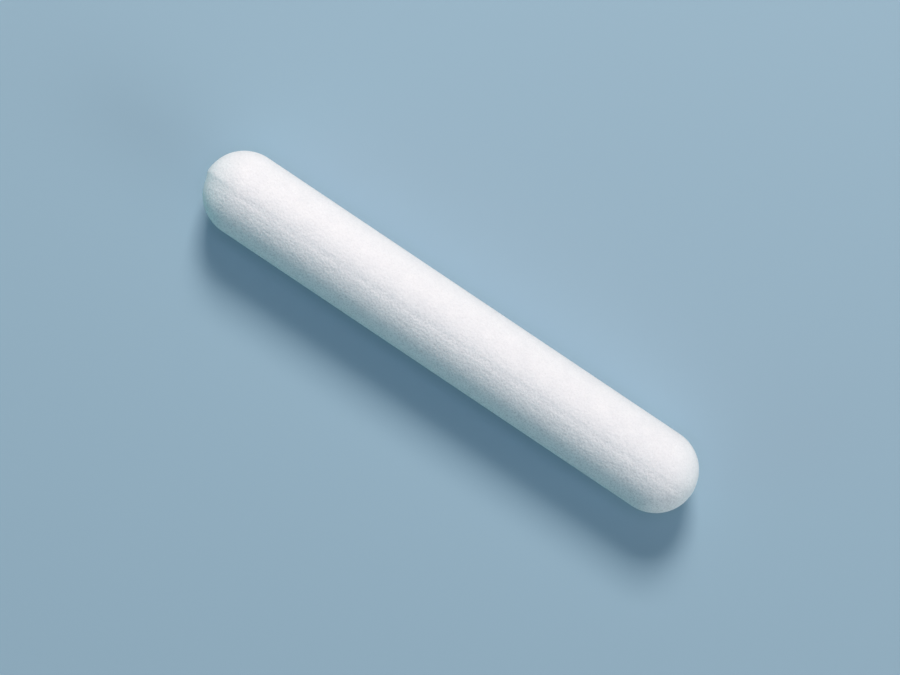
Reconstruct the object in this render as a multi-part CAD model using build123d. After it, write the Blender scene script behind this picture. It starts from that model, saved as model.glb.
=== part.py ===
"""Magnetic stir bar: a magnet rod sealed in a round white fluoropolymer jacket with domed ends.

The bar lies along X and its centre is the origin. The jacket was moulded round the magnet in a
two-part mould whose halves met on a plane parallel to XZ, a little to the -Y side of the axis.
Its -Y half falls a little short at the left end, the one at -X.
All sizes are in millimetres and degrees.
"""
from build123d import *
from math import cos, radians, sin, sqrt
import os

# Jacket
body_diameter = 9.0
overall_length = 60.5      # over the two domes
radial_wall = 1.5          # jacket thickness around the magnet
end_wall = 5.25            # jacket thickness from a magnet end to the tip of its dome

# Magnet
magnet_edge_break = 0.4    # chamfer ground on both ends of the rod

# Dressed parting line: a narrow flat land that runs lengthwise round the whole jacket and joins
# its two moulded halves
land_width = 0.94
land_offset = 0.1          # from the axis to the land's nearer edge, towards -Y
left_shortfall = 0.23      # by how much the -Y half is the shorter one at its left end

# Dressed flats on the tips. Each one leans from the bar's axis, towards +Y where the lean is
# positive, and takes a thin slice off the dome.
LEFT, RIGHT = -1, 1
tip_flats = [
    {"end": LEFT, "lean": 15.5, "depth": 0.07},
    {"end": LEFT, "lean": 28.0, "depth": 0.055},
    {"end": RIGHT, "lean": 16.5, "depth": 0.105},
    {"end": RIGHT, "lean": 32.5, "depth": 0.08},
    {"end": RIGHT, "lean": -16.5, "depth": 0.03},
]

# Worked out from the sizes above
body_radius = body_diameter / 2
tip = overall_length / 2
magnet_diameter = body_diameter - 2 * radial_wall
magnet_length = overall_length - 2 * end_wall
near_edge = -land_offset
far_edge = near_edge - land_width


def capsule(left_tip, right_tip):
    """Round bar with a full dome at each end: half of its outline, turned about X."""
    left_dome = left_tip + body_radius
    right_dome = right_tip - body_radius
    outline = Line((left_tip, 0), (right_tip, 0))
    outline += RadiusArc((right_tip, 0), (right_dome, body_radius), -body_radius)
    outline += Line((right_dome, body_radius), (left_dome, body_radius))
    outline += RadiusArc((left_dome, body_radius), (left_tip, 0), -body_radius)
    return revolve(make_face(outline), Axis.X)


def lengthwise_slice(y, left_tip, right_tip):
    """Outline of such a bar where a plane parallel to XZ cuts it at y."""
    half_height = sqrt(body_radius**2 - y**2)
    between_domes = right_tip - left_tip - body_diameter
    slot = SlotCenterToCenter(between_domes, 2 * half_height)
    return Plane.XZ.offset(-y) * Pos((left_tip + right_tip) / 2, 0) * slot


def side_of(bar, y, side):
    """What lies on one side of the plane at y: side is 1 for +Y and -1 for -Y."""
    room = 2 * overall_length
    return bar & (Pos(0, y + side * room / 2, 0) * Box(room, room, room))


def tip_slice(end, lean, depth):
    """Block whose inner face is one tip flat; what it covers is taken off the dome."""
    size = body_diameter
    out = Vector(end * cos(radians(lean)), sin(radians(lean)), 0)
    dome_centre = Vector(end * (tip - body_radius), 0, 0)
    middle = dome_centre + out * (body_radius - depth + size / 2)
    return Plane(origin=middle, z_dir=out) * Box(size, size, size)


def make_magnet():
    """Straight rod with a small chamfer on each end."""
    rod = Cylinder(magnet_diameter / 2, magnet_length, rotation=(0, 90, 0))
    return chamfer(rod.edges().filter_by(GeomType.CIRCLE), magnet_edge_break)


def make_jacket(magnet):
    """Two moulded halves joined by the parting land, closed all round the magnet."""
    full_ends = (-tip, tip)
    short_ends = (-tip + left_shortfall, tip)
    front = side_of(capsule(*full_ends), near_edge, 1)
    back = side_of(capsule(*short_ends), far_edge, -1)
    land = loft([lengthwise_slice(near_edge, *full_ends), lengthwise_slice(far_edge, *short_ends)],
                ruled=True)
    jacket = front + land + back
    for flat in tip_flats:
        jacket -= tip_slice(**flat)
    return jacket - magnet


def save(name, solid):
    solid.label = name
    export_step(solid, f"parts/{name}.step")


os.makedirs("parts", exist_ok=True)
magnet_core = make_magnet()
save("magnet_core", magnet_core)
save("jacket", make_jacket(magnet_core))
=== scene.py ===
"""Looks of the magnetic stir bar: a white fluoropolymer jacket moulded round a cast magnet rod.

Lengths are in metres. The bar lies along X with its centre at the origin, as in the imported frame.
The jacket's surface is worked out as a reach: how far the surface lies from the bar's axis, or
from the centre of a dome, in a given direction.
"""
import math

import bpy
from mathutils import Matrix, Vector, noise


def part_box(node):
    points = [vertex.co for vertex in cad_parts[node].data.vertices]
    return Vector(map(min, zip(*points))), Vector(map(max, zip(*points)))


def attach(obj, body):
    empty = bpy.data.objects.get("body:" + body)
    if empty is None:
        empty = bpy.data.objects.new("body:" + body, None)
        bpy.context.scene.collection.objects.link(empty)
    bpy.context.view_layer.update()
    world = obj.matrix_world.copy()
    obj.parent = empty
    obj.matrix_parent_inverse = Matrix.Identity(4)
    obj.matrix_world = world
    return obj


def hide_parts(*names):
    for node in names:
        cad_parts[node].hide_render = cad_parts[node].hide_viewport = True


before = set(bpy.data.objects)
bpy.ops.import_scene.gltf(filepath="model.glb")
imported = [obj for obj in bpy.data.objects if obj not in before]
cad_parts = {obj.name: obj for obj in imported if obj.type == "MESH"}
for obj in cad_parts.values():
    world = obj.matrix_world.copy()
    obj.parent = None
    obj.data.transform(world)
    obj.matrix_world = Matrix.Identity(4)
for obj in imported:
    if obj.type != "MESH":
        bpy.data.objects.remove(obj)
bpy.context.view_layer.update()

MM = 0.001

# Sizes read from the frame
HALF_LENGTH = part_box("jacket")[1].x
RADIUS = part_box("jacket")[1].y
HALF_STRAIGHT = HALF_LENGTH - RADIUS
MAGNET_HALF_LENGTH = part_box("magnet_core")[1].x
MAGNET_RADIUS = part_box("magnet_core")[1].z

# Sizes of the fine features, as in the part's source
MAGNET_EDGE_BREAK = 0.4 * MM
LAND_NEAR_EDGE = -0.1 * MM
LAND_FAR_EDGE = LAND_NEAR_EDGE - 0.94 * MM
LEFT_SHORTFALL = 0.23 * MM
RIGHT, LEFT = 1, -1
TIP_FLATS = {  # lean towards +Y in degrees, depth of the slice off the dome
    LEFT: [(15.5, 0.07 * MM), (28.0, 0.055 * MM)],
    RIGHT: [(16.5, 0.105 * MM), (32.5, 0.08 * MM), (-16.5, 0.03 * MM)],
}

# Centres of the two domes, where the jacket's shorter half ends its straight part
DOME_CENTRES = {RIGHT: HALF_STRAIGHT, LEFT: -(HALF_STRAIGHT - LEFT_SHORTFALL)}

# How the moulded skin departs from the true shape, always inwards
EDGE_SOFTENING = 0.004 * MM     # of the tip flats' rims
LAND_EDGE_BLEND = 0.16 * MM
SKIN_WAVES = [(3.0 * MM, 0.006 * MM), (0.8 * MM, 0.0015 * MM)]  # wavelength, height

# Cosine between a direction and the facing of a tip flat or of the land, below which that
# surface is out of the direction's way
LEAST_CLOSING = 0.5

# Mesh
SEGMENTS = 320      # round the bar, a multiple of 4
BODY_RINGS = 160
CAVITY_SEGMENTS = 96


# ---------------------------------------------------------------- shape of the jacket

def round_height(y):
    """Height of the plain round section above the axis, at a distance y from it."""
    return math.sqrt(RADIUS ** 2 - y ** 2)


LAND_WIDTH = LAND_NEAR_EDGE - LAND_FAR_EDGE
LAND_SLOPE = (round_height(LAND_NEAR_EDGE) - round_height(LAND_FAR_EDGE)) / LAND_WIDTH
LAND_HEIGHT = round_height(LAND_NEAR_EDGE) - LAND_SLOPE * LAND_NEAR_EDGE


def larger_root(a, b, c):
    """Larger solution of a x^2 + b x + c = 0, for a positive a."""
    return (-b + math.sqrt(b * b - 4 * a * c)) / (2 * a)


def round_reach(direction, ahead):
    """Reach of a round bar whose dome's centre lies `ahead` further along the axis."""
    along, across = abs(direction.x), math.hypot(direction.y, direction.z)
    if ahead * across >= RADIUS * along:
        return RADIUS / across
    return larger_root(1, -2 * ahead * along, ahead ** 2 - RADIUS ** 2)


def land_reach(direction, ahead):
    """Reach of the parting land, which joins the longer half's outline to the shorter one's."""
    along, rise, side = abs(direction.x), abs(direction.z), direction.y
    steepness = rise - LAND_SLOPE * side
    shrink = ahead / LAND_WIDTH
    centre_ahead = -shrink * LAND_FAR_EDGE
    forward = along - shrink * side
    if forward * LAND_HEIGHT <= centre_ahead * steepness:
        return LAND_HEIGHT / steepness
    return larger_root(forward ** 2 + rise ** 2 - (LAND_SLOPE * side) ** 2,
                       -2 * (centre_ahead * forward + LAND_HEIGHT * LAND_SLOPE * side),
                       centre_ahead ** 2 - LAND_HEIGHT ** 2)


def flat_reach(direction, end, ahead, lean, depth):
    """Reach of one flat on a tip, or infinity where it faces away."""
    out = Vector((end * math.cos(math.radians(lean)), math.sin(math.radians(lean)), 0))
    closing = direction.dot(out)
    if closing <= LEAST_CLOSING:
        return math.inf
    return (RADIUS - depth + end * ahead * out.x) / closing


def soft_minimum(values):
    """The least value, a little less where others come close, which rounds the edge there."""
    least = min(values)
    total = sum(math.exp((least - v) / EDGE_SOFTENING) for v in values)
    return least - EDGE_SOFTENING * math.log(total)


def smooth_step(low, high, value):
    """Eases from 0 to 1 as the value goes from low to high."""
    part = min(max((value - low) / (high - low), 0), 1)
    return part * part * (3 - 2 * part)


def moulded_reach(direction, ahead):
    """Reach of the two moulded halves and the parting land that joins them."""
    front = round_reach(direction, ahead)
    if direction.y > 0:
        return front
    back = round_reach(direction, 0)
    closing = math.hypot(direction.x, direction.z) - LAND_SLOPE * direction.y
    if closing < LEAST_CLOSING:
        return back
    land = land_reach(direction, ahead)
    y = land * direction.y
    blend = LAND_EDGE_BLEND
    on_front = smooth_step(LAND_NEAR_EDGE - blend, LAND_NEAR_EDGE + blend, y)
    on_back = smooth_step(LAND_FAR_EDGE + blend, LAND_FAR_EDGE - blend, y)
    return on_front * front + on_back * back + (1 - on_front - on_back) * land


def reach(direction, end=None):
    """How far the surface lies from the axis, or from a dome's centre, in a direction."""
    ahead = LEFT_SHORTFALL if end == LEFT else 0
    reaches = [moulded_reach(direction, ahead)]
    reaches += [flat_reach(direction, end, ahead, *flat) for flat in TIP_FLATS.get(end, [])]
    return soft_minimum(reaches)


def skin_depth(point):
    """How far the moulded skin dips at a point."""
    return sum(height * 0.5 * (1 + noise.noise(point / wavelength))
               for wavelength, height in SKIN_WAVES)


def surface_point(centre, direction, end=None):
    """Point of the jacket's outside, seen from a centre on the axis."""
    distance = reach(direction, end)
    return centre + direction * (distance - skin_depth(centre + direction * distance))


def ring_direction(step):
    """Direction square to the axis, at one step of a body ring."""
    angle = 2 * math.pi * step / SEGMENTS
    return Vector((0, math.cos(angle), math.sin(angle)))


def square_to_polar(a, b):
    """Spreads a square evenly over a disc: radius from 0 to 1, and angle."""
    radius = max(abs(a), abs(b))
    if radius == 0:
        return 0.0, 0.0
    if abs(a) >= abs(b):
        return radius, math.pi / 4 * b / a + (math.pi if a < 0 else 0)
    return radius, math.pi / 2 - math.pi / 4 * a / b + (math.pi if b < 0 else 0)


def body_ring(x):
    """Points of the jacket's outside round the axis at x."""
    return [surface_point(Vector((x, 0, 0)), ring_direction(k)) for k in range(SEGMENTS)]


def add_body(points, faces):
    """The straight part, as rings of points joined by quads."""
    for ring in range(BODY_RINGS + 1):
        along = ring / BODY_RINGS
        points += body_ring(DOME_CENTRES[LEFT] * (1 - along) + DOME_CENTRES[RIGHT] * along)
    for ring in range(BODY_RINGS):
        near, far = ring * SEGMENTS, (ring + 1) * SEGMENTS
        for k in range(SEGMENTS):
            after = (k + 1) % SEGMENTS
            faces.append((near + k, near + after, far + after, far + k))


def add_dome(points, faces, end):
    """A dome as a square grid spread over the half ball, sewn to the body's last ring."""
    across = SEGMENTS // 4
    first_of_ring = BODY_RINGS * SEGMENTS if end == RIGHT else 0
    centre = Vector((DOME_CENTRES[end], 0, 0))
    index = {}
    for i in range(across + 1):
        for j in range(across + 1):
            radius, angle = square_to_polar(2 * i / across - 1, 2 * j / across - 1)
            if i in (0, across) or j in (0, across):
                step = round(angle / (2 * math.pi) * SEGMENTS) % SEGMENTS
                index[i, j] = first_of_ring + step
                continue
            out = radius * math.pi / 2
            direction = Vector((end * math.cos(out), math.sin(out) * math.cos(angle),
                                math.sin(out) * math.sin(angle)))
            index[i, j] = len(points)
            points.append(surface_point(centre, direction, end))
    for i in range(across):
        for j in range(across):
            quad = (index[i, j], index[i + 1, j], index[i + 1, j + 1], index[i, j + 1])
            faces.append(quad if end == RIGHT else quad[::-1])


def add_cavity(points, faces):
    """The closed hollow that grips the magnet, facing inwards."""
    rim = MAGNET_HALF_LENGTH - MAGNET_EDGE_BREAK
    outline = [(-MAGNET_HALF_LENGTH, MAGNET_RADIUS - MAGNET_EDGE_BREAK), (-rim, MAGNET_RADIUS),
               (rim, MAGNET_RADIUS), (MAGNET_HALF_LENGTH, MAGNET_RADIUS - MAGNET_EDGE_BREAK)]
    first = len(points)
    for x, radius in outline:
        for k in range(CAVITY_SEGMENTS):
            angle = 2 * math.pi * k / CAVITY_SEGMENTS
            points.append(Vector((x, radius * math.cos(angle), radius * math.sin(angle))))
    for ring in range(len(outline) - 1):
        near = first + ring * CAVITY_SEGMENTS
        far = near + CAVITY_SEGMENTS
        for k in range(CAVITY_SEGMENTS):
            after = (k + 1) % CAVITY_SEGMENTS
            faces.append((near + k, far + k, far + after, near + after))
    last = first + (len(outline) - 1) * CAVITY_SEGMENTS
    faces.append(tuple(first + k for k in range(CAVITY_SEGMENTS)))
    faces.append(tuple(last + k for k in reversed(range(CAVITY_SEGMENTS))))


def make_jacket():
    """The jacket's outside and its closed cavity, as one object."""
    points, faces = [], []
    add_body(points, faces)
    add_dome(points, faces, LEFT)
    add_dome(points, faces, RIGHT)
    outside_faces = len(faces)
    add_cavity(points, faces)
    mesh = bpy.data.meshes.new("ptfe_jacket")
    mesh.from_pydata(points, [], faces)
    for polygon in mesh.polygons[:outside_faces]:
        polygon.use_smooth = True
    jacket = bpy.data.objects.new("ptfe_jacket", mesh)
    bpy.context.collection.objects.link(jacket)
    return jacket


# ---------------------------------------------------------------- materials

NOISE_SPREAD = (0.3, 0.7)       # where most of a noise's values lie

# PTFE
DULL_WHITE = (0.88, 0.886, 0.896, 1)
CLEAR_WHITE = (0.945, 0.945, 0.947, 1)
SPECK_GREY = (0.42, 0.43, 0.44, 1)
CLOUD_SIZE = 1.6 * MM
SPECK_SIZE = 0.19 * MM
SPECK_SPREAD = (0.45, 0.7)          # of the noise, from no speck to a full one
SPECKS_AND_PAINTED_SHADE_STRENGTH = (0.12, 0.52)       # on the +Y half, and on the -Y half, where the extra is painted shade of the shaded side
PAINTED_SHADE_SPECK_CHANGE = (1 * MM, -3.2 * MM)  # where along Y the one goes over into the other, the painted shade growing towards -Y
MATTE_PATCH_SIZE = 0.5 * MM
MATTE_ROUGHNESS = (0.5, 0.66)
BURNISHING = 0.1                    # how much less rough the land is
LAND_FADE = (0.8, 1.15)             # in half widths of the land, where its own look ends
RIPPLE_SIZE, RIPPLE_DEPTH = 1.2 * MM, 0.035 * MM
GRAIN_SIZE, GRAIN_DEPTH = 0.27 * MM, 0.078 * MM
SCRAPE_SIZE, SCRAPE_DEPTH = 0.16 * MM, 0.004 * MM
ALONG_BAR_SCRAPES = (0.06, 1, 1)    # squeezes the noise along X, so that its blots grow long
PTFE_IOR = 1.35
GLOW_SHARE = 0.35                   # of the light goes on below the surface
GLOW_DEPTH = 0.6 * MM

# Alnico
DARK_METAL = (0.36, 0.35, 0.335, 1)
LIGHT_METAL = (0.5, 0.49, 0.475, 1)
# Near black in the casting pits: painted shade
PAINTED_PIT_SHADE = (0.09, 0.085, 0.08, 1)
METAL_PATCH_SIZE = 3.0 * MM
METAL_ROUGHNESS = (0.32, 0.48)
PIT_SIZE, PIT_DEPTH = 0.45 * MM, 0.03 * MM
PIT_SPREAD = (0.66, 0.74)           # of the noise: only its highest values are pits
GRINDING_SIZE, GRINDING_DEPTH = 0.12 * MM, 0.006 * MM
ROUND_BAR_GRINDING = (1, 0.05, 0.05)


class Material:
    """A node material with short calls for the nodes that the looks below are made of."""

    def __init__(self, name):
        self.data = bpy.data.materials.new(name)
        self.data.use_nodes = True
        self.tree = self.data.node_tree
        self.shader = self.tree.nodes["Principled BSDF"]
        self.place = self.node("ShaderNodeTexCoord").outputs["Object"]

    def node(self, kind, **inputs):
        """Adds a node and feeds its inputs, whose names have _ for a space."""
        made = self.tree.nodes.new(kind)
        for name, value in inputs.items():
            self.feed(made.inputs[name.replace("_", " ")], value)
        return made

    def feed(self, socket, value):
        """Links another node's output to a socket, or sets a plain value on it."""
        if isinstance(value, bpy.types.NodeSocket):
            self.tree.links.new(value, socket)
        else:
            socket.default_value = value

    def noise(self, size, detail=2, stretch=(1, 1, 1), **inputs):
        """Smooth random values whose blots are about `size` metres across."""
        placed = self.node("ShaderNodeMapping", Vector=self.place, Scale=stretch)
        made = self.node("ShaderNodeTexNoise", Vector=placed.outputs[0], Scale=1 / size,
                         Detail=detail, **inputs)
        return made.outputs[0]

    def remap(self, value, spread, onto=(0, 1)):
        """Stretches the values of a spread, held to it, onto another one."""
        made = self.node("ShaderNodeMapRange", Value=value, From_Min=spread[0],
                         From_Max=spread[1], To_Min=onto[0], To_Max=onto[1])
        return made.outputs[0]

    def mix(self, amount, first, second):
        """Mixes two colours, by the sockets that the mix node keeps for colours."""
        made = self.tree.nodes.new("ShaderNodeMix")
        made.data_type = "RGBA"
        self.feed(made.inputs[0], amount)
        self.feed(made.inputs[6], first)
        self.feed(made.inputs[7], second)
        return made.outputs[2]

    def calculate(self, operation, *values):
        """Result of a math node."""
        made = self.tree.nodes.new("ShaderNodeMath")
        made.operation = operation
        for socket, value in zip(made.inputs, values):
            self.feed(socket, value)
        return made.outputs[0]

    def bump(self, height, depth, under=None):
        """Raises the surface by up to `depth` metres, on top of an earlier bump."""
        made = self.node("ShaderNodeBump", Height=height, Distance=depth)
        if under is not None:
            self.feed(made.inputs["Normal"], under)
        return made.outputs[0]


def ptfe_material():
    """Matte white sintered fluoropolymer: fine grain, faint clouding, a burnished parting land, and
    painted shade as heavier grey specks towards -Y.
    """
    look = Material("ptfe")
    y = look.node("ShaderNodeSeparateXYZ", Vector=look.place).outputs["Y"]

    # Mask of the parting land: 1 between its two edges, on the top and on the bottom
    middle = (LAND_NEAR_EDGE + LAND_FAR_EDGE) / 2
    off_middle = look.calculate("ABSOLUTE", look.calculate("SUBTRACT", y, middle))
    fade = [part * LAND_WIDTH / 2 for part in LAND_FADE]
    on_land = look.remap(off_middle, fade, onto=(1, 0))

    clouds = look.remap(look.noise(CLOUD_SIZE, detail=5, Roughness=0.7), NOISE_SPREAD)
    white = look.mix(clouds, DULL_WHITE, CLEAR_WHITE)
    # Grey specks of the grain, mixed in more strongly towards -Y: the extra darkening there is
    # painted shade
    specks = look.remap(look.noise(SPECK_SIZE, detail=2.5, Roughness=0.65), SPECK_SPREAD)
    speck_and_painted_shade_amount = look.remap(y, PAINTED_SHADE_SPECK_CHANGE, onto=SPECKS_AND_PAINTED_SHADE_STRENGTH)
    white = look.mix(look.calculate("MULTIPLY", specks, speck_and_painted_shade_amount), white, SPECK_GREY)
    look.feed(look.shader.inputs["Base Color"], white)

    matte = look.remap(look.noise(MATTE_PATCH_SIZE, detail=3), NOISE_SPREAD, onto=MATTE_ROUGHNESS)
    burnishing = look.calculate("MULTIPLY", on_land, BURNISHING)
    look.feed(look.shader.inputs["Roughness"], look.calculate("SUBTRACT", matte, burnishing))

    scrapes = look.noise(SCRAPE_SIZE, stretch=ALONG_BAR_SCRAPES)
    relief = look.bump(look.noise(RIPPLE_SIZE), RIPPLE_DEPTH)
    relief = look.bump(look.noise(GRAIN_SIZE), GRAIN_DEPTH, relief)
    relief = look.bump(look.calculate("MULTIPLY", scrapes, on_land), SCRAPE_DEPTH, relief)
    look.feed(look.shader.inputs["Normal"], relief)

    look.shader.inputs["IOR"].default_value = PTFE_IOR
    look.shader.inputs["Subsurface Weight"].default_value = GLOW_SHARE
    look.shader.inputs["Subsurface Radius"].default_value = (1.0, 1.0, 1.0)
    look.shader.inputs["Subsurface Scale"].default_value = GLOW_DEPTH
    return look.data


def alnico_material():
    """Cast magnet alloy: grey metal, ground round its length, with small casting pits darkened by
    painted shade.
    """
    look = Material("alnico")
    pits = look.remap(look.noise(PIT_SIZE), PIT_SPREAD)
    patches = look.noise(METAL_PATCH_SIZE, detail=3)
    metal = look.mix(patches, DARK_METAL, LIGHT_METAL)
    # Painted shade: the casting pits are darkened in the base colour
    look.feed(look.shader.inputs["Base Color"], look.mix(pits, metal, PAINTED_PIT_SHADE))
    look.feed(look.shader.inputs["Roughness"], look.remap(patches, NOISE_SPREAD, METAL_ROUGHNESS))
    grinding = look.noise(GRINDING_SIZE, detail=3, stretch=ROUND_BAR_GRINDING)
    relief = look.bump(grinding, GRINDING_DEPTH)
    relief = look.bump(look.calculate("SUBTRACT", 1.0, pits), PIT_DEPTH, relief)
    look.feed(look.shader.inputs["Normal"], relief)
    look.shader.inputs["Metallic"].default_value = 1.0
    return look.data


# ---------------------------------------------------------------- floor, lights and camera

TURN_ON_FLOOR = math.radians(33.84)     # the bar runs down to the right in the view
IMAGE_RIGHT = Vector((math.cos(TURN_ON_FLOOR), math.sin(TURN_ON_FLOOR), 0))
IMAGE_UP = Vector((-IMAGE_RIGHT.y, IMAGE_RIGHT.x, 0))
FRAME_WIDTH = 93.6 * MM                 # what the picture's width takes in
CAMERA_SHIFT = -0.58 * MM               # of the camera along the picture's height
SENSOR_WIDTH = 36.0                     # millimetres, as the lens
LENS = 100.0
NEAR_CLIP = 10 * MM

FLOOR_HALF_SIZE = 4.0
FLOOR_COLOUR = (0.34, 0.5, 0.6, 1)
FLOOR_ROUGHNESS = 0.8

LIGHT_DISTANCE = 0.6
SOFTBOXES = [  # name, degrees round from +X and above the floor, side, watts, colour
    ("key_light", 114.8, 43.6, 0.19, 3.0, (1.0, 0.905, 0.862)),
    ("side_light", 0, 12, 0.35, 1.43, (0.968, 1.0, 0.976)),
    ("low_light", 225, 12, 0.35, 0.45, (0.18, 0.97, 0.98)),
    ("top_light", 0, 90, 0.35, 0.67, (0.745, 0.674, 1.0)),
]
WORLD_COLOUR = (0.56, 0.98, 1.0, 1)
WORLD_STRENGTH = 0.125


def floor_material():
    """Plain matte pale blue."""
    look = Material("pale_floor")
    look.shader.inputs["Base Color"].default_value = FLOOR_COLOUR
    look.shader.inputs["Roughness"].default_value = FLOOR_ROUGHNESS
    return look.data


def make_floor():
    """A plain square that the bar lies on."""
    size = FLOOR_HALF_SIZE
    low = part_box("jacket")[0].z
    corners = [(-size, -size, low), (size, -size, low), (size, size, low), (-size, size, low)]
    mesh = bpy.data.meshes.new("floor")
    mesh.from_pydata(corners, [], [(0, 1, 2, 3)])
    mesh.materials.append(floor_material())
    floor = bpy.data.objects.new("floor", mesh)
    bpy.context.collection.objects.link(floor)


def from_angles(around, above):
    """Direction at an angle round the vertical from the bar's +X, and above the floor."""
    around, above = math.radians(around), math.radians(above)
    return Vector((math.cos(around) * math.cos(above), math.sin(around) * math.cos(above),
                   math.sin(above)))


def add_softbox(name, towards, side, watts, colour):
    """A square light that shines on the origin from the direction `towards`."""
    data = bpy.data.lights.new(name, "AREA")
    data.shape = "SQUARE"
    data.size = side
    data.energy = watts
    data.color = colour
    light = bpy.data.objects.new(name, data)
    light.location = towards * LIGHT_DISTANCE
    light.rotation_mode = "QUATERNION"
    light.rotation_quaternion = (-towards).to_track_quat("-Z", "Y")
    bpy.context.collection.objects.link(light)


def light_scene():
    """Softboxes and an even sky."""
    for name, around, above, side, watts, colour in SOFTBOXES:
        add_softbox(name, from_angles(around, above), side, watts, colour)
    world = bpy.data.worlds.new("studio")
    world.use_nodes = True
    background = world.node_tree.nodes["Background"]
    background.inputs["Color"].default_value = WORLD_COLOUR
    background.inputs["Strength"].default_value = WORLD_STRENGTH
    bpy.context.scene.world = world
    bpy.context.scene.view_settings.view_transform = "Standard"


def add_camera():
    """Straight above the bar, far enough back that its two ends look the same size."""
    data = bpy.data.cameras.new("camera")
    data.sensor_width = SENSOR_WIDTH
    data.lens = LENS
    data.clip_start = NEAR_CLIP
    height = FRAME_WIDTH * LENS / SENSOR_WIDTH
    camera = bpy.data.objects.new("camera", data)
    camera.location = IMAGE_UP * CAMERA_SHIFT + Vector((0, 0, height))
    camera.rotation_euler = (0, 0, TURN_ON_FLOOR)
    bpy.context.collection.objects.link(camera)
    bpy.context.scene.camera = camera


# ---------------------------------------------------------------- the scene

jacket = make_jacket()
jacket.data.materials.append(ptfe_material())
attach(jacket, "root")
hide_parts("jacket")

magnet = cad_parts["magnet_core"]
magnet.material_slots[0].material = alnico_material()

make_floor()
light_scene()
add_camera()
